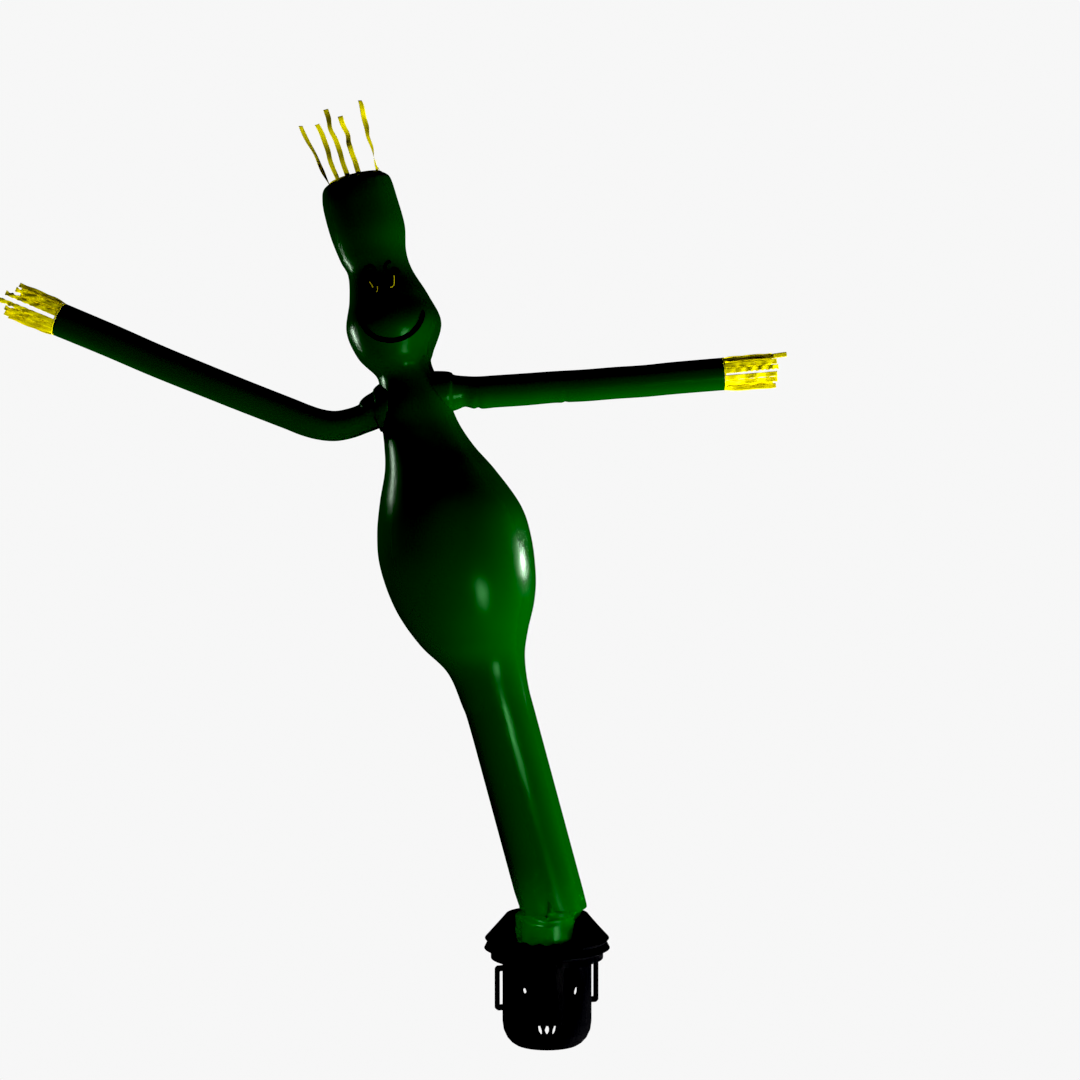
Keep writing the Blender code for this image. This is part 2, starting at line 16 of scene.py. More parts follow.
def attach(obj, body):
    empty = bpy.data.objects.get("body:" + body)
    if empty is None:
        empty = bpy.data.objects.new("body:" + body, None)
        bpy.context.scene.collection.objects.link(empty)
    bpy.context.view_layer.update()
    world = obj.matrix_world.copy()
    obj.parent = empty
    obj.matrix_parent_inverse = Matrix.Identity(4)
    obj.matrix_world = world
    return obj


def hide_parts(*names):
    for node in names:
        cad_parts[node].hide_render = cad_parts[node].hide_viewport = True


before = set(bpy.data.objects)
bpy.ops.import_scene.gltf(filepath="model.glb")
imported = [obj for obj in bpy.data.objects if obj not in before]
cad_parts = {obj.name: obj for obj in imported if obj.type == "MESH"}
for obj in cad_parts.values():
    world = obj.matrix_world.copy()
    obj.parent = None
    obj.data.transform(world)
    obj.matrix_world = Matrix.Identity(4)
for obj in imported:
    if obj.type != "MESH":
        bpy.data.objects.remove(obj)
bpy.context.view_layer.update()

# %% [markdown]
# The picture was taken level with the figure's belly and from far off: the two sides of the
# leg stay parallel, and the blower is seen a little from above while the crown is seen from
# below. A long lens on a level camera gives that. The camera comes first, because every
# later choice is judged through it.

# %% Camera
EYE = Vector((-0.049, -14.0, 3.528))
FOCAL_PIXELS = 2000.0          # distance at which one metre fills that many pixels
IMAGE_SIDE = 1080.0
SENSOR = 36.0

lens = bpy.data.cameras.new("camera")
lens.sensor_width = SENSOR
lens.lens = SENSOR * FOCAL_PIXELS / IMAGE_SIDE
camera = bpy.data.objects.new("camera", lens)
camera.location = EYE
camera.rotation_euler = (math.radians(90), 0.0, 0.0)
bpy.context.scene.collection.objects.link(camera)
bpy.context.scene.camera = camera
print("lens", round(lens.lens, 1), "mm")

# %% [markdown]
# Shader networks are easier to read as sums than as boxes and wires. A Wire stands for one
# socket: adding or multiplying two wires adds a Math node. A Finish stands for one
# material, with one method that adds any other node from its type, its settings and what
# its sockets get.

# %% Shader maths
class Wire:
    """A number on its way through a shader; sums and products add Math nodes."""

    def __init__(self, finish, socket):
        self.finish = finish
        self.socket = socket

    def maths(self, operation, *values):
        return self.finish.node("ShaderNodeMath", {"operation": operation}, *values)[0]

    def __add__(self, other):
        return self.maths("ADD", self, other)

    __radd__ = __add__

    def __sub__(self, other):
        return self.maths("SUBTRACT", self, other)

    def __rsub__(self, other):
        return self.maths("SUBTRACT", other, self)

    def __mul__(self, other):
        return self.maths("MULTIPLY", self, other)

    __rmul__ = __mul__

    def wave(self):
        return self.maths("SINE", self)

    def size(self):
        return self.maths("ABSOLUTE", self)

    def clipped(self):
        return self.maths("MINIMUM", self.maths("MAXIMUM", self, 0.0), 1.0)


class Finish:
    """A material that is built node by node."""

    def __init__(self, name, **constants):
        self.material = bpy.data.materials.new(name)
        self.material.use_nodes = True
        self.tree = self.material.node_tree
        self.shader = self.tree.nodes["Principled BSDF"]
        for socket, value in constants.items():
            self.shader.inputs[socket.replace("_", " ")].default_value = value

    def node(self, kind, settings=None, *values, **named):
        """Adds a node and gives back its outputs as wires."""
        made = self.tree.nodes.new(kind)
        for key, value in (settings or {}).items():
            setattr(made, key, value)
        wanted = list(enumerate(values)) + [(key.replace("_", " "), value)
                                            for key, value in named.items()]
        for key, value in wanted:
            if isinstance(value, Wire):
                self.tree.links.new(value.socket, made.inputs[key])
            else:
                made.inputs[key].default_value = value
        return [Wire(self, socket) for socket in made.outputs]

    def feed(self, socket, wire):
        self.tree.links.new(wire.socket, self.shader.inputs[socket])

    def mix(self, factor, first, second):
        """Colour between two colours; each is a wire or four numbers."""
        blend = self.node("ShaderNodeMix", {"data_type": "RGBA"})
        made = blend[0].socket.node
        for index, value in ((0, factor), (6, first), (7, second)):
            if isinstance(value, Wire):
                self.tree.links.new(value.socket, made.inputs[index])
            else:
                made.inputs[index].default_value = value
        return Wire(self, made.outputs[2])

    def noise(self, scale, detail=2.0, stretch=None):
        """Cloudy value between 0 and 1 in the object's own metres."""
        place = self.node("ShaderNodeTexCoord")[3]
        if stretch:
            place = self.node("ShaderNodeVectorMath", {"operation": "MULTIPLY"},
                              place, stretch)[0]
        return self.node("ShaderNodeTexNoise", None, Vector=place, Scale=scale, Detail=detail)[0]

    def bump(self, height, distance, strength=1.0, under=None):
        """Normal of a raised pattern; height is a wire and distance is in metres."""
        sockets = {"Height": height, "Distance": distance, "Strength": strength}
        if under is not None:
            sockets["Normal"] = under
        return self.node("ShaderNodeBump", None, **sockets)[0]


print("shader helpers ready")

# %% [markdown]
# The skin of such a figure is thin ripstop nylon with a shiny coating. Ripstop has a
# thicker thread every few millimetres, which makes a fine square grid, and the coating
# gives narrow, bright highlights. The grid runs along the cloth, so it reads the cloth's
# own measured coordinates: across is metres round the tube and along is metres up it.
# A felled seam closes every tube at the back, where across is nought.

# %% Nylon
RIPSTOP = 0.007                # distance between the thick threads
GREEN_LIT = (0.0, 0.032, 0.0004, 1.0)
GREEN_DEEP = (0.0, 0.024, 0.0002, 1.0)
SHEEN = (0.24, 1.0, 0.30, 1.0)  # the dyed coating tints what it mirrors
SEAM_HALF = 0.007
CLOTH_MAP = "cloth"


def thread_grid(across, along, pitch):
    """Ridges of a woven square grid, 1 on a thread and 0 between threads."""
    turn = 2 * math.pi / pitch
    lines = ((across * turn).wave() * 0.5 + 0.5, (along * turn).wave() * 0.5 + 0.5)
    peaks = [line.maths("POWER", line, 6.0) for line in lines]
    return peaks[0].maths("MAXIMUM", peaks[0], peaks[1])


def cloth_place(finish):
    """Across and along on the cloth, in metres."""
    place = finish.node("ShaderNodeUVMap", {"uv_map": CLOTH_MAP})[0]
    parts = finish.node("ShaderNodeSeparateXYZ", None, place)
    return parts[0], parts[1]


def nylon(name, girth):
    finish = Finish(name, Specular_IOR_Level=0.18, Specular_Tint=SHEEN)
    across, along = cloth_place(finish)
    weave = thread_grid(across, along, RIPSTOP)
    drift = finish.noise(1.6, 3.0)
    tint = finish.mix(drift, GREEN_DEEP, GREEN_LIT)
    finish.feed("Base Color", finish.mix(weave * 0.12, tint, GREEN_DEEP))
    finish.feed("Roughness", finish.noise(9.0, 3.0) * 0.08 + 0.20)
    edge = (across - girth).size()
    from_seam = across.size().maths("MINIMUM", across.size(), edge)
    seam = (1 - (from_seam * (1 / SEAM_HALF))).clipped()
    puckers = finish.noise(7.0, 3.0, (1.0, 1.0, 0.45)) - 0.5
    wrinkles = finish.bump(puckers, 0.004, 0.5)
    finish.feed("Normal", finish.bump(weave * 0.12 + seam, 0.0012, 0.5, wrinkles))
    return finish.material


print("nylon grid", RIPSTOP * 1000, "mm")

# %% [markdown]
# The streamers are satin ribbon: bright yellow, with fine ribs across their width. The
# face is cut from matte black cloth and sewn on. The blower has a satin black powder coat,
# which is pebbled on the scale of a millimetre.

# %% Ribbon, face cloth and paint
YELLOW = (0.90, 0.82, 0.0, 1.0)
YELLOW_WORN = (0.80, 0.70, 0.0, 1.0)
BLACK = (0.0010, 0.0010, 0.0011, 1.0)
BLACK_WORN = (0.0028, 0.0028, 0.0030, 1.0)
RIB = 0.0022                   # distance between the ribbon's ribs
FACE_WEAVE = 0.003             # distance between the face cloth's threads


def ribbon_satin():
    finish = Finish("yellow_ribbon_satin", Specular_IOR_Level=0.1)
    _, along = cloth_place(finish)
    ribs = (along * (2 * math.pi / RIB)).wave() * 0.5 + 0.5
    finish.feed("Base Color", finish.mix(finish.noise(14.0, 2.0), YELLOW_WORN, YELLOW))
    finish.feed("Roughness", finish.noise(20.0, 2.0) * 0.12 + 0.34)
    finish.feed("Normal", finish.bump(ribs, 0.0001, 0.5))
    return finish.material


def face_cloth():
    finish = Finish("black_face_cloth", Specular_IOR_Level=0.02)
    across, along = cloth_place(finish)
    weave = thread_grid(across, along, FACE_WEAVE)
    finish.feed("Base Color", finish.mix(finish.noise(18.0, 3.0), BLACK, BLACK_WORN))
    finish.feed("Roughness", weave * 0.1 + 0.62)
    finish.feed("Normal", finish.bump(weave, 0.0004, 0.6))
    return finish.material


def powder_coat():
    finish = Finish("black_powder_coat", Specular_IOR_Level=0.03)
    smudge = finish.noise(3.0, 4.0)
    finish.feed("Base Color", finish.mix(smudge, BLACK, BLACK_WORN))
    finish.feed("Roughness", smudge * 0.16 + 0.42)
    finish.feed("Normal", finish.bump(finish.noise(600.0, 2.0), 0.0003, 0.35))
    return finish.material


RIBBON = ribbon_satin()
FACE_CLOTH = face_cloth()
PAINT = powder_coat()
print("finishes", len(bpy.data.materials))

# %% [markdown]
# Every cloth piece here is a grid of points that was worked out by a rule, so one helper
# turns a grid into a mesh. It writes the cloth's own coordinates as a UV map, closes the
# grid round a tube where asked, and gives the sheet its thickness with Solidify, inwards
# from the drawn surface.

# %% Mesh helpers
CLOTH = 0.002


def link(name, mesh, material):
    mesh.materials.append(material)
    item = bpy.data.objects.new(name, mesh)
    bpy.context.scene.collection.objects.link(item)
    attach(item, "root")
    return item


def grid_mesh(name, grid, across, along, closed=False, cap_last=False):
    """Mesh of rows of points; across and along give each grid line's metres on the cloth."""
    rows, columns = grid.shape[:2]
    spans = columns if closed else columns - 1
    points = grid.reshape(-1, 3).tolist()
    faces = []
    corners = []
    for row in range(rows - 1):
        for column in range(spans):
            after = (column + 1) % columns
            faces.append((row * columns + column, row * columns + after,
                          (row + 1) * columns + after, (row + 1) * columns + column))
            corners += [(across[column], along[row]), (across[column + 1], along[row]),
                        (across[column + 1], along[row + 1]), (across[column], along[row + 1])]
    if cap_last:
        faces.append(tuple(range((rows - 1) * columns, rows * columns)))
        corners += [(across[column], along[-1]) for column in range(columns)]
    mesh = bpy.data.meshes.new(name)
    mesh.from_pydata(points, [], faces)
    layer = mesh.uv_layers.new(name=CLOTH_MAP)
    layer.data.foreach_set("uv", np.array(corners, dtype=np.float32).ravel())
    mesh.shade_smooth()
    return mesh


def thicken(item, thickness=CLOTH, offset=-1.0):
    solid = item.modifiers.new("thickness", "SOLIDIFY")
    solid.thickness = thickness
    solid.offset = offset
    solid.use_even_offset = True


def tree_of(item):
    """Search tree of an object's own faces, for fitting other pieces to it."""
    mesh = item.data
    return BVHTree.FromPolygons([vertex.co for vertex in mesh.vertices],
                                [tuple(face.vertices) for face in mesh.polygons])


print("mesh helpers ready")

# %% [markdown]
# Air makes every section of the skin a circle, so the body can be told as a short list of
# circles from the hem to the crown: where each middle lies, how wide it is and how far its
# axis leans. A smooth curve through the list fills in the rest. The list is the model's
# own, so the dressed skin lies where the plain one does.

# %% Body sections
# name, x, z, radius, lean to the left in degrees
BODY_ROWS = (
    ("hem", 0.005, 0.735, 0.2280, 0.0),
    ("cuff_top", 0.005, 0.889, 0.2280, 0.0),
    ("bend", 0.024, 0.952, 0.2390, 8.0),
    ("leg_foot", 0.026, 1.021, 0.2340, 15.2),
    ("leg_top", -0.290, 2.190, 0.2345, 15.2),
    ("thigh", -0.365, 2.447, 0.2430, 16.0),
    ("belly_start", -0.427, 2.664, 0.2790, 12.5),
    ("belly_low", -0.511, 2.846, 0.3820, 8.0),
    ("belly_under", -0.574, 3.063, 0.4840, 3.0),
    ("belly_full", -0.622, 3.308, 0.5440, -2.5),
    ("belly_over", -0.648, 3.553, 0.5395, -1.0),
    ("rib_low", -0.676, 3.780, 0.4930, -1.0),
    ("rib_high", -0.749, 4.016, 0.3850, 1.0),
    ("chest", -0.824, 4.183, 0.3135, 1.0),
    ("armpit", -0.886, 4.333, 0.2695, 3.0),
    ("shoulder", -0.938, 4.484, 0.2470, 9.0),
    ("neck", -0.994, 4.697, 0.1950, 14.0),
    ("chin", -1.061, 4.816, 0.2630, 4.0),
    ("cheek", -1.071, 5.016, 0.3330, 6.0),
    ("eyes", -1.105, 5.215, 0.2785, 5.0),
    ("forehead", -1.166, 5.394, 0.2255, 6.5),
    ("topknot_low", -1.216, 5.516, 0.2330, 10.0),
    ("topknot", -1.254, 5.688, 0.2620, 10.5),
    ("topknot_high", -1.306, 5.877, 0.2610, 11.5),
    ("crown_side", -1.327, 5.976, 0.2500, 12.0),
    ("crown_bend", -1.333, 6.023, 0.2350, 13.0),
    ("crown", -1.335, 6.046, 0.2070, 13.7),
)
SPAN_STEPS = 11
AROUND = 96


def curve_through(values, steps):
    """Points on the smooth curve through the rows of values."""
    values = np.asarray(values, dtype=float)
    padded = np.vstack([values[:1], values, values[-1:]])
    t = (np.arange(steps) / steps)[:, None]
    pieces = []
    for index in range(len(values) - 1):
        before, start, end, after = padded[index:index + 4]
        pieces.append(0.5 * (2 * start + (end - before) * t
                             + (2 * before - 5 * start + 4 * end - after) * t ** 2
                             + (3 * start - before - 3 * end + after) * t ** 3))
    return np.vstack(pieces + [values[-1:]])


def body_sections():
    """x, z, radius and lean in radians of every section, and the index of each named one."""
    table = np.array([row[1:] for row in BODY_ROWS])
    table[:, 3] = np.radians(table[:, 3])
    fine = curve_through(table, SPAN_STEPS)
    index = {row[0]: number * SPAN_STEPS for number, row in enumerate(BODY_ROWS)}
    start, end = index["leg_foot"], index["leg_top"]
    share = np.linspace(0.0, 1.0, end - start + 1)[:, None]
    fine[start:end + 1] = fine[start] * (1 - share) + fine[end] * share
    return fine, index


SECTIONS, SECTION_AT = body_sections()
print("body sections", len(SECTIONS))

# %% [markdown]
# The angle round the body is counted from the back seam, so that the cut in the cloth's
# coordinates falls where the real seam is. Half a turn on is the front. The cuff has a
# scalloped hem of twelve shallow waves, and where the leg bends over the cuff the cloth
# rolls into one soft fold at the front left, which catches a bright highlight.

# %% Body skin
SCALLOPS = 12
SCALLOP = 0.008
CROWN_RISE = 0.006
CROWN_RINGS = 6
BODY_MEAN_RADIUS = 0.25
# the fold: angle from the front in degrees (left is negative), height of its crease, depth
FOLD_ANGLES = (-170, -125, -90, -60, -31, -10, 10, 32, 50)
FOLD_HEIGHTS = (0.985, 0.972, 0.955, 0.928, 0.897, 0.886, 0.884, 0.886, 0.890)
FOLD_DEPTHS = (0.0, 0.5, 0.95, 1.0, 1.0, 0.85, 0.45, 0.12, 0.0)
FOLD_DENT, FOLD_ROLL = 0.012, 0.008


def turns(columns):
    """Angle of each column from the front, in radians; the first is at the back."""
    return np.linspace(-math.pi, math.pi, columns, endpoint=False)


def ring_points(sections, angles):
    """Grid of points on the sections' circles, with the outward direction of each."""
    x, z, radius, lean = (sections[:, i][:, None] for i in range(4))
    side, front = np.sin(angles)[None, :], np.cos(angles)[None, :]
    outward = np.stack([side * np.cos(lean), -front + 0 * lean, side * np.sin(lean)], axis=-1)
    middle = np.stack([x, 0 * x, z], axis=-1)
    return middle + outward * radius[..., None], outward


def fold_relief(angles, heights):
    """How far the cloth stands out or in round the bend over the cuff, in metres."""
    degrees = np.degrees(angles)[None, :]
    crease = np.interp(degrees, FOLD_ANGLES, FOLD_HEIGHTS)
    depth = np.interp(degrees, FOLD_ANGLES, FOLD_DEPTHS, left=0.0, right=0.0)
    above = heights - crease
    dent = FOLD_DENT * np.exp(-((above - 0.016) / 0.024) ** 2)
    roll = FOLD_ROLL * np.exp(-((above + 0.022) / 0.026) ** 2)
    return depth * (roll - dent)


def gathers(angles, heights, place, reach, count, height, phase=0.0):
    """Small pleats that run along the tube and fade away from a height."""
    fade = np.exp(-((heights - place) / reach) ** 2)
    return height * fade * np.sin(count * angles[None, :] + phase + 9.0 * heights)


def body_grid():
    angles = turns(AROUND)
    points, outward = ring_points(SECTIONS, angles)
    heights = points[..., 2]
    relief = fold_relief(angles, heights)
    relief += gathers(angles, heights, 4.72, 0.07, 13, 0.0022, 1.0)
    relief += gathers(angles, heights, 6.03, 0.04, 21, 0.0016, 2.0)
    points = points + outward * relief[..., None]
    wave = SCALLOP * np.cos(SCALLOPS * angles)
    share = np.clip(1 - np.arange(len(SECTIONS)) / SPAN_STEPS, 0.0, 1.0) ** 3
    points[..., 2] -= share[:, None] * wave[None, :]
    crown = SECTIONS[-1]
    up = np.array([-math.sin(crown[3]), 0.0, math.cos(crown[3])])
    middle = np.array([crown[0], 0.0, crown[1]])
    caps = []
    for ring in range(1, CROWN_RINGS):
        shrink = 1 - ring / CROWN_RINGS
        caps.append((middle + (points[-1] - middle) * shrink
                     + up * CROWN_RISE * (1 - shrink ** 2))[None])
    return np.concatenate([points] + caps)


def body_skin():
    grid = body_grid()
    girth = 2 * math.pi * BODY_MEAN_RADIUS
    steps = np.linalg.norm(np.diff(grid[:, AROUND // 2], axis=0), axis=1)
    along = np.concatenate([[0.0], np.cumsum(steps)])
    across = np.linspace(0.0, girth, AROUND + 1)
    mesh = grid_mesh("figure_skin", grid, across, along, closed=True, cap_last=True)
    skin = link("figure_skin", mesh, nylon("green_nylon_body", girth))
    skin_tree = tree_of(skin)
    thicken(skin)
    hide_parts("body_skin")
    print("body cloth runs", round(float(along[-1]), 2), "m from hem to crown")
    return skin, skin_tree


SKIN, SKIN_TREE = body_skin()

# %% [markdown]
# A sleeve is a slimmer tube along a curved path: the left arm sags and then rises to its
# hand, the right one runs nearly level. Where a sleeve meets the chest it flares and stops
# on the chest's surface, along a saddle-shaped seam. The start of each lengthwise line is
# found by walking along it until it comes out of the body.

# %% Sleeves
# x, z, radius, from inside the body out to the hand
LEFT_ARM = (
    (-1.000, 4.480, 0.200), (-1.100, 4.455, 0.185), (-1.169, 4.431, 0.155),
    (-1.218, 4.417, 0.128), (-1.274, 4.382, 0.104), (-1.379, 4.344, 0.104), (-1.484, 4.326, 0.106),
    (-1.589, 4.337, 0.108), (-1.694, 4.368, 0.110), (-1.799, 4.410, 0.110),
    (-2.114, 4.533, 0.111), (-2.429, 4.659, 0.112), (-2.744, 4.788, 0.114),
    (-3.059, 4.925, 0.116), (-3.409, 5.071, 0.118),
)
RIGHT_ARM = (
    (-0.880, 4.545, 0.165), (-0.700, 4.560, 0.150), (-0.650, 4.562, 0.127),
    (-0.574, 4.568, 0.108), (-0.469, 4.560, 0.114), (-0.364, 4.568, 0.113),
    (-0.154, 4.582, 0.113), (0.056, 4.599, 0.111), (0.266, 4.610, 0.112),
    (0.476, 4.627, 0.112), (0.686, 4.641, 0.112), (0.896, 4.662, 0.113),
    (1.232, 4.690, 0.114),
)
SLEEVE_AROUND = 48
SLEEVE_STEPS = 16
SEAM_GAP = 0.0006
SLEEVE_MEAN_RADIUS = 0.112
# pinched stitches under the right arm: x of each, and how deep it pulls the cloth in
PINCHES = ((-0.478, 0.010), (0.122, 0.007))


def body_clearance(points):
    """Distance of each point outside the body's sections; negative is inside."""
    middles = np.stack([SECTIONS[:, 0], 0 * SECTIONS[:, 0], SECTIONS[:, 1]], axis=-1)
    ups = np.stack([-np.sin(SECTIONS[:, 3]), 0 * SECTIONS[:, 0], np.cos(SECTIONS[:, 3])], axis=-1)
    offset = points[:, None, :] - middles[None]
    height = (offset * ups[None]).sum(-1)
    nearest = np.abs(height).argmin(axis=1)
    picked = np.arange(len(points))
    from_axis = offset[picked, nearest] - ups[nearest] * height[picked, nearest][:, None]
    return np.linalg.norm(from_axis, axis=1) - SECTIONS[nearest, 2]


def sleeve_lines(rows, angles):
    """Fine grid of the whole sleeve before it is trimmed, one column for each angle."""
    fine = curve_through(np.array(rows), SLEEVE_STEPS)
    path = np.stack([fine[:, 0], 0 * fine[:, 0], fine[:, 1]], axis=-1)
    tangent = np.gradient(path, axis=0)
    tangent /= np.linalg.norm(tangent, axis=1)[:, None]
    front = np.array([0.0, -1.0, 0.0])
    side = np.cross(tangent, front)
    outward = (front[None, None] * np.cos(angles)[None, :, None]
               + side[:, None] * np.sin(angles)[None, :, None])
    radius = np.repeat(fine[:, 2][:, None], len(angles), axis=1)
    return path, outward, radius


def pinch_relief(path, outward):
    """Dents of the pinched stitches, deepest on the underside."""
    relief = np.zeros(outward.shape[:2])
    under = np.clip(-outward[..., 2], 0.0, 1.0) ** 2
    for x, depth in PINCHES:
        near = np.exp(-((path[:, 0] - x) / 0.012) ** 2)[:, None]
        beside = np.exp(-((path[:, 0] - x + 0.030) / 0.022) ** 2)[:, None]
        relief += under * (0.35 * depth * beside - depth * near)
    return relief


def sleeve(name, rows, pinched):
    angles = turns(SLEEVE_AROUND)
    path, outward, radius = sleeve_lines(rows, angles)
    if pinched:
        radius = radius + pinch_relief(path, outward)
    lines = path[:, None] + outward * radius[..., None]
    count = len(lines)
    grid = np.empty_like(lines)
    for column in range(SLEEVE_AROUND):
        clear = body_clearance(lines[:, column]) - SEAM_GAP
        first = int(np.nonzero(clear < 0)[0].max())
        start = first + clear[first] / (clear[first] - clear[first + 1])
        places = start + (count - 1 - start) * np.linspace(0.0, 1.0, count)
        for axis in range(3):
            grid[:, column, axis] = np.interp(places, np.arange(count), lines[:, column, axis])
    girth = 2 * math.pi * SLEEVE_MEAN_RADIUS
    steps = np.linalg.norm(np.diff(path, axis=0), axis=1)
    along = np.concatenate([[0.0], np.cumsum(steps)])
    mesh = grid_mesh(name, grid, np.linspace(0.0, girth, SLEEVE_AROUND + 1), along, closed=True)
    piece = link(name, mesh, nylon("green_nylon_" + name, girth))
    work = bmesh.new()
    work.from_mesh(mesh)
    bmesh.ops.recalc_face_normals(work, faces=work.faces)
    middle = Vector(path[count // 2])
    face = min(work.faces, key=lambda f: (f.calc_center_median() - middle).length)
    if face.normal.dot(face.calc_center_median() - middle) < 0:
        bmesh.ops.reverse_faces(work, faces=work.faces)
    work.to_mesh(mesh)
    work.free()
    thicken(piece)
    print(name, "is", round(float(along[-1]), 2), "m long")
    return piece


LEFT_SLEEVE = sleeve("sleeve_left", LEFT_ARM, False)
RIGHT_SLEEVE = sleeve("sleeve_right", RIGHT_ARM, True)
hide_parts("arm_left")
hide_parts("arm_right")

# %% [markdown]
# The face is sewn on flat: two tall oval eyes with thin pale glints, a curved brow over
# each eye, a small lid over the right one and one wide smile. Each piece is drawn as seen
# from the front and then laid on the skin by shooting a line back from every point, so it
# follows the head's curves.

# %% Face
FACE_THICKNESS = 0.0015
FACE_GAP = 0.0008


def on_skin(x, z, lift):
    """Point at a height over the skin's front, straight behind x and z."""
    place, normal, _, _ = SKIN_TREE.ray_cast(Vector((x, -3.0, z)), Vector((0.0, 1.0, 0.0)))
    if normal.y > 0:
        normal = -normal
    return place + normal * lift


def laid_piece(name, rows, material, lift=FACE_GAP, thickness=FACE_THICKNESS):
    """A flat piece laid on the head; rows is a grid of x and z."""
    grid = np.array([[tuple(on_skin(x, z, lift)) for x, z in row] for row in rows])
    across = np.linspace(0.0, 0.05, grid.shape[1])
    along = np.linspace(0.0, 0.05 * grid.shape[0] / grid.shape[1], grid.shape[0])
    mesh = grid_mesh(name, grid, across, along)
    work = bmesh.new()
    work.from_mesh(mesh)
    if sum(face.normal.y for face in work.faces) > 0:
        bmesh.ops.reverse_faces(work, faces=work.faces)
    work.to_mesh(mesh)
    work.free()
    piece = link(name, mesh, material)
    thicken(piece, thickness, 1.0)
    return piece


def oval_rows(x, z, half_width, half_height, rows=22, columns=11):
    grid = []
    for row in range(rows + 1):
        turn = math.pi * (row / rows - 0.5) * 0.995
        wide = half_width * math.cos(turn)
        level = z + half_height * math.sin(turn)
        grid.append([(x + wide * (2 * column / columns - 1), level)
                     for column in range(columns + 1)])
    return grid


def stroke_rows(path, half_width, steps=10, columns=4):
    """A stroke of cloth along a path of x and z, narrowed at its ends."""
    fine = curve_through(np.array(path), steps)
    slope = np.gradient(fine, axis=0)
    slope /= np.linalg.norm(slope, axis=1)[:, None]
    side = np.stack([-slope[:, 1], slope[:, 0]], axis=-1)
    share = np.linspace(0.0, 1.0, len(fine))
    ends = np.minimum(1.0, np.sqrt(np.clip(np.minimum(share, 1 - share) * 12, 0.02, 1.0)))
    half = half_width * ends
    return [[tuple(fine[i] + side[i] * half[i] * (2 * column / columns - 1))
             for column in range(columns + 1)] for i in range(len(fine))]


def arc_path(x, z, radius, first, last, count=12):
    angles = np.radians(np.linspace(first, last, count))
    return [(x + radius * math.cos(a), z + radius * math.sin(a)) for a in angles]


EYES = {"eye_left": (-1.181, 5.270, 0.047, 0.085), "eye_right": (-1.064, 5.291, 0.047, 0.085)}
SMILE = (-1.075, 5.120, 0.225, 186, 356)
LASHES = {
    "brow_left": [(-1.262, 5.372), (-1.247, 5.402), (-1.222, 5.418), (-1.196, 5.404),
                  (-1.180, 5.384)],
    "brow_right": [(-1.107, 5.376), (-1.116, 5.405), (-1.107, 5.436), (-1.078, 5.451)],
}
LID = [(-1.071, 5.377), (-1.062, 5.392), (-1.048, 5.397), (-1.034, 5.391), (-1.023, 5.375)]
GLINTS = {
    "glint_left": [(-1.222, 5.305), (-1.208, 5.286), (-1.196, 5.262)],
    "glint_left_low": [(-1.166, 5.272), (-1.164, 5.245), (-1.172, 5.230)],
    "glint_right": [(-1.056, 5.352), (-1.052, 5.318), (-1.056, 5.276), (-1.078, 5.262)],
}

for name, eye in EYES.items():
    piece = laid_piece("figure_" + name, oval_rows(*eye), FACE_CLOTH)
    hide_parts(name)
for name, path in LASHES.items():
    piece = laid_piece("figure_" + name, stroke_rows(path, 0.008), FACE_CLOTH)
    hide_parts(name)
laid_piece("figure_lid", stroke_rows(LID, 0.007), FACE_CLOTH)
smile = laid_piece("figure_mouth", stroke_rows(arc_path(*SMILE), 0.016), FACE_CLOTH)
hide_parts("mouth")
for name, path in GLINTS.items():
    laid_piece("figure_" + name, stroke_rows(path, 0.0034), RIBBON,
               FACE_GAP + FACE_THICKNESS + 0.0004, 0.0008)
print("face pieces", len(EYES) + len(LASHES) + len(GLINTS), "with a lid and a mouth besides")

# %% [markdown]
# Each fringe is a set of flat ribbons on a narrow band. The ribbons flutter in the air that
# leaves the tube, so each one is a strip on a waving line with its own length, waves and
# twist, all told in one row. The band is a short closed ring at the sleeve's end, or on the
# crown's rim.

# %% Streamers
BAND_LENGTH = 0.012
RIBBON_WIDTH = 0.036
RIBBON_THICKNESS = 0.0012
RIBBON_ROWS = 60
CROWN_BAND_RADIUS = 0.190
TURN_BY = 0.25                 # share of the length by which a ribbon has turned
LATE_TURN = 94                 # a larger turn than this takes the whole length
RIPPLE_BY = 0.5                # share of the length by which the waves are full

# angle round the band from the front, length, waves along it, their height, then at the
# tip: spread outwards and drift across, then the turn about its own line and how far it
# swings to and fro about that turn, in degrees
HEAD_RIBBONS = (
    (-90, 0.455, 1.5, 0.006, 0.100, 0.00, 44, 10), (-38, 0.400, 1.1, 0.026, 0.030, -0.03, -20, 12),
    (-13, 0.487, 1.8, 0.020, 0.010, -0.04, 4, 12), (11, 0.407, 1.8, -0.022, 0.000, -0.03, 24, 12),
    (59, 0.505, 2.5, -0.008, 0.004, -0.01, -170, 8), (118, 0.120, 1.0, 0.008, 0.008, 0.02, 25, 0),
)
LEFT_RIBBONS = (
    (90, 0.350, 2, 0.003, 0.000, 0, 64, 10), (39, 0.335, 2.5, 0.003, 0.004, 0, 39, 52),
    (13, 0.384, 4, 0.003, 0.004, 0, 13, 50), (-16, 0.441, 4, -0.003, 0.006, 0, -16, 48),
    (-35, 0.356, 3, 0.003, 0.004, 0, -35, 48), (-56, 0.352, 2.5, 0.003, 0.006, 0, -80, 24),
    (-108, 0.345, 2, 0.003, 0.004, 0, 52, 14), (-136, 0.340, 3, 0.003, 0.004, 0, 44, 40),
    (-157, 0.355, 3, -0.003, 0.006, 0, 23, 40), (157, 0.350, 3, 0.003, 0.004, 0, -23, 40),
    (124, 0.345, 2, 0.003, 0.004, 0, -56, 40),
)
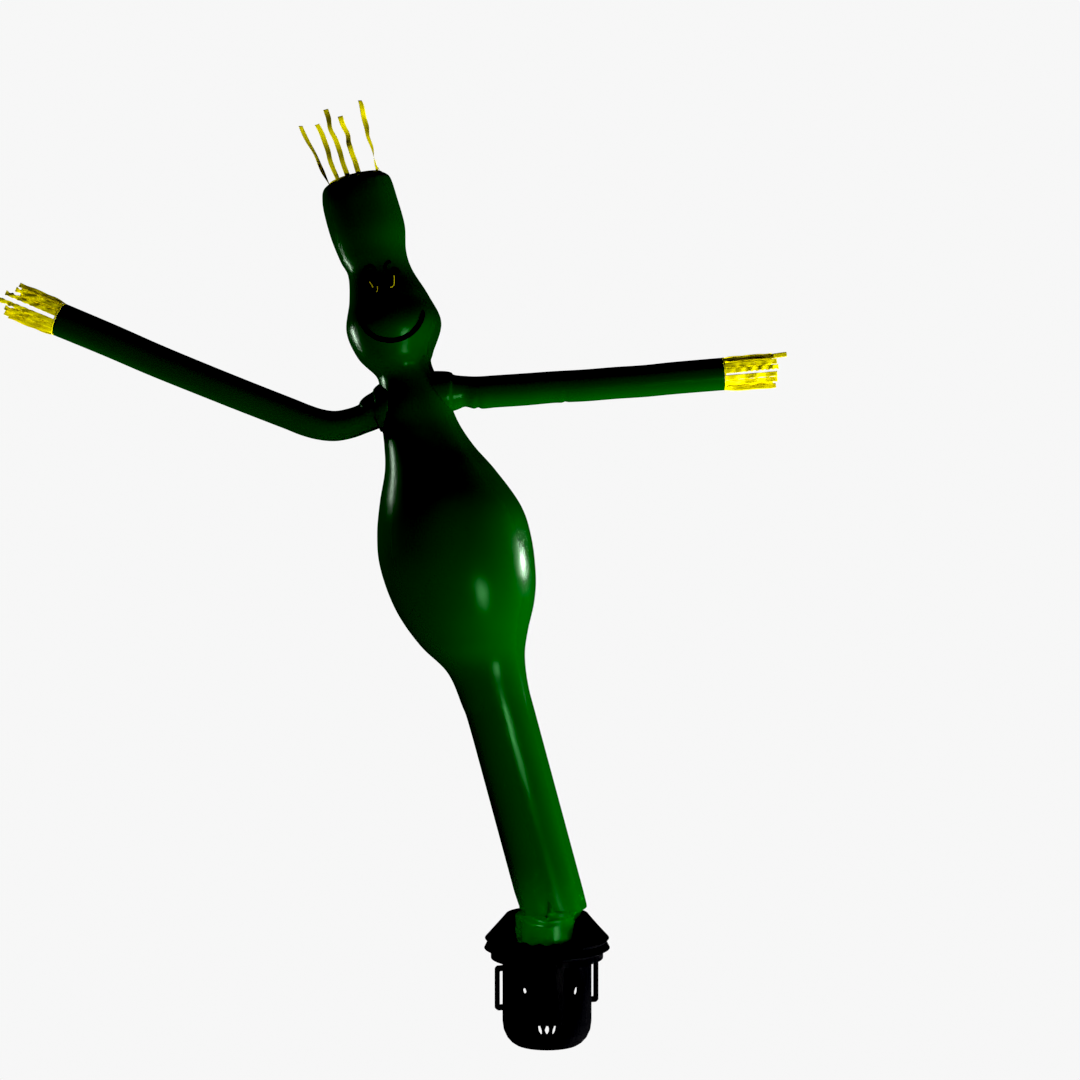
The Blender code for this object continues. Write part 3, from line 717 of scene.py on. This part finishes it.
RIGHT_RIBBONS = (
    (-54, 0.350, 2, 0.002, 0.000, 0, -26, 8), (-25.5, 0.365, 3, 0.003, 0.004, 0, -31, 10),
    (-5.5, 0.372, 5, 0.003, 0.002, 0, -10, 44), (18.5, 0.360, 2.5, 0.003, 0.002, 0, 9, 30),
    (38, 0.360, 2.5, 0.003, 0.004, 0, 30, 30), (68.5, 0.352, 2, 0.002, 0.008, 0, 94, 8),
    (-135, 0.465, 2, 0.002, 0.043, 0, 62, 0), (-111, 0.350, 2, 0.003, 0.000, 0, 50, 16),
    (-159, 0.350, 3, 0.003, 0.004, 0, 21, 36), (141, 0.350, 3, 0.003, 0.004, 0, -39, 36),
    (112, 0.345, 2, 0.003, 0.004, 0, -50, 20),
)


def ribbon_grid(row, middle, axis, outward, across):
    """Grid of one ribbon, six points wide, from its root to its tip."""
    _, length, waves, height, spread, drift, turn, swing = row
    t = np.linspace(0.0, 1.0, RIBBON_ROWS)[:, None]
    ripple = np.sin(2 * math.pi * waves * t) * np.minimum(1.0, t / RIPPLE_BY)
    reached = t if abs(turn) > LATE_TURN else np.minimum(1.0, t / TURN_BY)
    angle = np.radians(turn * reached + swing * ripple)
    wide = across * np.cos(angle) + outward * np.sin(angle)
    facing = outward * np.cos(angle) - across * np.sin(angle)
    centre = middle + axis * (length * t) + outward * (spread * t) + across * (drift * t)
    centre = centre + facing * (height * ripple)
    reach = np.linspace(-RIBBON_WIDTH / 2, RIBBON_WIDTH / 2, 6)
    return centre[:, None] + wide[:, None] * reach[None, :, None]


def fringe(name, middle, axis, radius, rows, replaced):
    """A band and its ribbons, joined into one piece."""
    axis = np.array(axis)
    middle = np.array(middle)
    front = np.array([0.0, -1.0, 0.0])
    side = np.cross(axis, front)
    angles = turns(72)
    ring = front[None] * np.cos(angles)[:, None] + side[None] * np.sin(angles)[:, None]
    band = np.stack([middle + ring * radius + axis * (BAND_LENGTH * level)
                     for level in (0.0, 0.5, 1.0)])
    meshes = [grid_mesh(name, band, np.linspace(0, 2 * math.pi * radius, 73),
                        (0.0, 0.006, 0.012), closed=True)]
    for row in rows:
        angle = math.radians(row[0])
        outward = front * math.cos(angle) + side * math.sin(angle)
        across = side * math.cos(angle) - front * math.sin(angle)
        root = middle + outward * (radius - CLOTH / 2) + axis * BAND_LENGTH * 0.4
        grid = ribbon_grid(row, root, axis, outward, across)
        meshes.append(grid_mesh(name, grid, np.linspace(0, RIBBON_WIDTH, 6),
                                np.linspace(0, row[1], RIBBON_ROWS)))
    work = bmesh.new()
    for mesh in meshes:
        work.from_mesh(mesh)
    for mesh in meshes[1:]:
        bpy.data.meshes.remove(mesh)
    mesh = meshes[0]
    work.to_mesh(mesh)
    work.free()
    mesh.shade_smooth()
    piece = link(name, mesh, RIBBON)
    thicken(piece, RIBBON_THICKNESS, 0.0)
    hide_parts(replaced)
    return piece


def hand_axis(rows):
    start, end = (np.array([x, 0.0, z]) for x, z, _ in rows[-2:])
    return end, (end - start) / np.linalg.norm(end - start)


crown = SECTIONS[-1]
crown_up = (-math.sin(crown[3]), 0.0, math.cos(crown[3]))
crown_middle = np.array([crown[0], 0.0, crown[1]]) + np.array(crown_up) * 0.0022
HEAD_FRINGE = fringe("crown_ribbons", crown_middle, crown_up, CROWN_BAND_RADIUS, HEAD_RIBBONS,
                     "head_streamers")
left_end, left_axis = hand_axis(LEFT_ARM)
LEFT_FRINGE = fringe("hand_ribbons_left", left_end + left_axis * 0.0005, left_axis,
                     LEFT_ARM[-1][2], LEFT_RIBBONS, "streamers_left")
right_end, right_axis = hand_axis(RIGHT_ARM)
RIGHT_FRINGE = fringe("hand_ribbons_right", right_end + right_axis * 0.0005, right_axis,
                      RIGHT_ARM[-1][2], RIGHT_RIBBONS, "streamers_right")
print("ribbons", len(HEAD_RIBBONS) + len(LEFT_RIBBONS) + len(RIGHT_RIBBONS))

# %% [markdown]
# The area is measured from the mesh that was just made.


# %% [markdown]
# The blower is pressed from sheet steel. The model's own solids already have its steps,
# slots and handles, so they stay and only get the paint.

# %% Blower
for name in ("blower_housing", "blower_flange", "outlet_collar", "outlet_guard",
             "handle_left", "handle_right"):
    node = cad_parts[name]
    node.data.materials.clear()
    node.data.materials.append(PAINT)
print("painted the blower")

# %% [markdown]
# In the picture the ground and the background are one even pale tone with no shadow, while
# the figure is lit from low down: whatever faces up is black, undersides are clear green,
# and the right edges glow. So the floor and the backdrop are pale only to the camera, and
# soft lamps light the cloth, some from under the floor's level, which the floor lets
# through. A lamp is told by its place, what it is aimed at and how bright it makes the
# green cloth there, and its watts follow from those. Small lamps with narrow beams make
# the sharp glints. Those aimed at the cuff cast no shadow, so that the belly and the arms
# don't darken it.

# %% Floor and light
PALE = 0.93
INK = 0.010                    # what is darker than this prints as black
FLOOR_SIZE = 400.0
NYLON_ALBEDO = GREEN_LIT[1]


def seen_by_camera(finish):
    return finish.node("ShaderNodeLightPath")[0]


def floor():
    bpy.ops.mesh.primitive_plane_add(size=FLOOR_SIZE, location=(0.0, 0.0, -0.002))
    plane = bpy.context.object
    plane.name = "floor"
    finish = Finish("pale_floor", Roughness=1.0, Specular_IOR_Level=0.0, Emission_Strength=1.0)
    finish.shader.inputs["Base Color"].default_value = (0.0, 0.0, 0.0, 1.0)
    pale = (PALE, PALE, PALE, 1.0)
    finish.feed("Emission Color", finish.mix(seen_by_camera(finish), (0.0, 0.0, 0.0, 1.0), pale))
    plane.data.materials.append(finish.material)
    plane.visible_shadow = False


def backdrop():
    """World that is pale to the camera and nearly dark to the object."""
    world = bpy.data.worlds.new("studio")
    world.use_nodes = True
    tree = world.node_tree
    background = tree.nodes["Background"]
    background.inputs["Color"].default_value = (1.0, 1.0, 1.0, 1.0)
    seen = tree.nodes.new("ShaderNodeLightPath")
    level = tree.nodes.new("ShaderNodeMapRange")
    level.inputs["To Min"].default_value = 0.004
    level.inputs["To Max"].default_value = PALE
    tree.links.new(seen.outputs["Is Camera Ray"], level.inputs["Value"])
    tree.links.new(level.outputs["Result"], background.inputs["Strength"])
    bpy.context.scene.world = world


# name, place, aimed at, width, height, brightness that it gives the green at that target,
# beam in degrees, seen by matt surfaces, mirrored by the cloth
CHEST, BELLY, LEG, HEAD = (-0.8, 0.0, 4.0), (-0.6, 0.0, 3.4), (-0.2, 0.0, 1.8), (-1.0, 0.0, 4.9)
CUFF = (0.0, 0.0, 0.80)
SHADOWLESS = ("cuff_glint", "cuff_left", "cuff_front", "cuff_right")
LAMPS = (
    ("right_small", (5.6, 2.5, 3.8), BELLY, 0.5, 0.5, 0.00030, 16, False, True),
    ("right_soft", (7.0, 2.2, 2.0), CHEST, 3.0, 3.0, 0.045, 180, True, False),
    ("right_under", (7.0, 1.8, -4.5), CHEST, 4.0, 4.0, 0.095, 180, True, False),
    ("front_low", (6.0, -9.5, -1.9), CHEST, 1.2, 1.2, 0.016, 180, True, True),
    ("front_under", (2.6, -4.4, -3.6), LEG, 3.0, 3.0, 0.042, 180, True, False),
    ("leg_glint", (2.7, -7.4, 2.45), (-0.3, 0.0, 2.3), 0.8, 0.8, 0.00004, 7, False, True),
    ("left_strip", (-3.0, 0.6, 4.6), HEAD, 0.12, 0.8, 0.0030, 70, False, True),
    ("left_soft", (-5.0, 1.5, 4.4), CHEST, 2.5, 2.5, 0.034, 180, True, False),
    ("cuff_glint", (-1.3, -3.0, 1.5), CUFF, 0.2, 0.2, 0.0001, 10, False, True),
    ("cuff_left", (-2.8, -2.0, 1.6), CUFF, 0.4, 0.4, 0.00022, 10, True, False),
    ("cuff_front", (0.4, -4.0, 1.6), CUFF, 0.4, 0.4, 0.00012, 10, True, False),
    ("cuff_right", (2.4, -2.8, 1.2), CUFF, 0.4, 0.4, 0.00030, 10, True, False),
)


def lamp(name, place, target, width, height, brightness, beam, matt, mirrored):
    away = Vector(place) - Vector(target)
    data = bpy.data.lights.new(name, "AREA")
    data.shape = "RECTANGLE"
    data.size = width
    data.size_y = height
    data.spread = math.radians(beam)
    data.use_shadow = name not in SHADOWLESS
    data.energy = brightness * math.pi ** 2 * away.length_squared / NYLON_ALBEDO
    item = bpy.data.objects.new(name, data)
    item.location = place
    item.rotation_euler = away.to_track_quat("Z", "Y").to_euler()
    item.visible_camera = False
    item.visible_diffuse = matt
    item.visible_glossy = mirrored
    bpy.context.scene.collection.objects.link(item)
    print(name, round(data.energy), "W")


floor()
backdrop()
for row in LAMPS:
    lamp(*row)
view = bpy.context.scene.view_settings
view.view_transform = "Standard"
view.use_curve_mapping = True
view.curve_mapping.black_level = (INK, INK, INK)
print("black from", INK, "down")
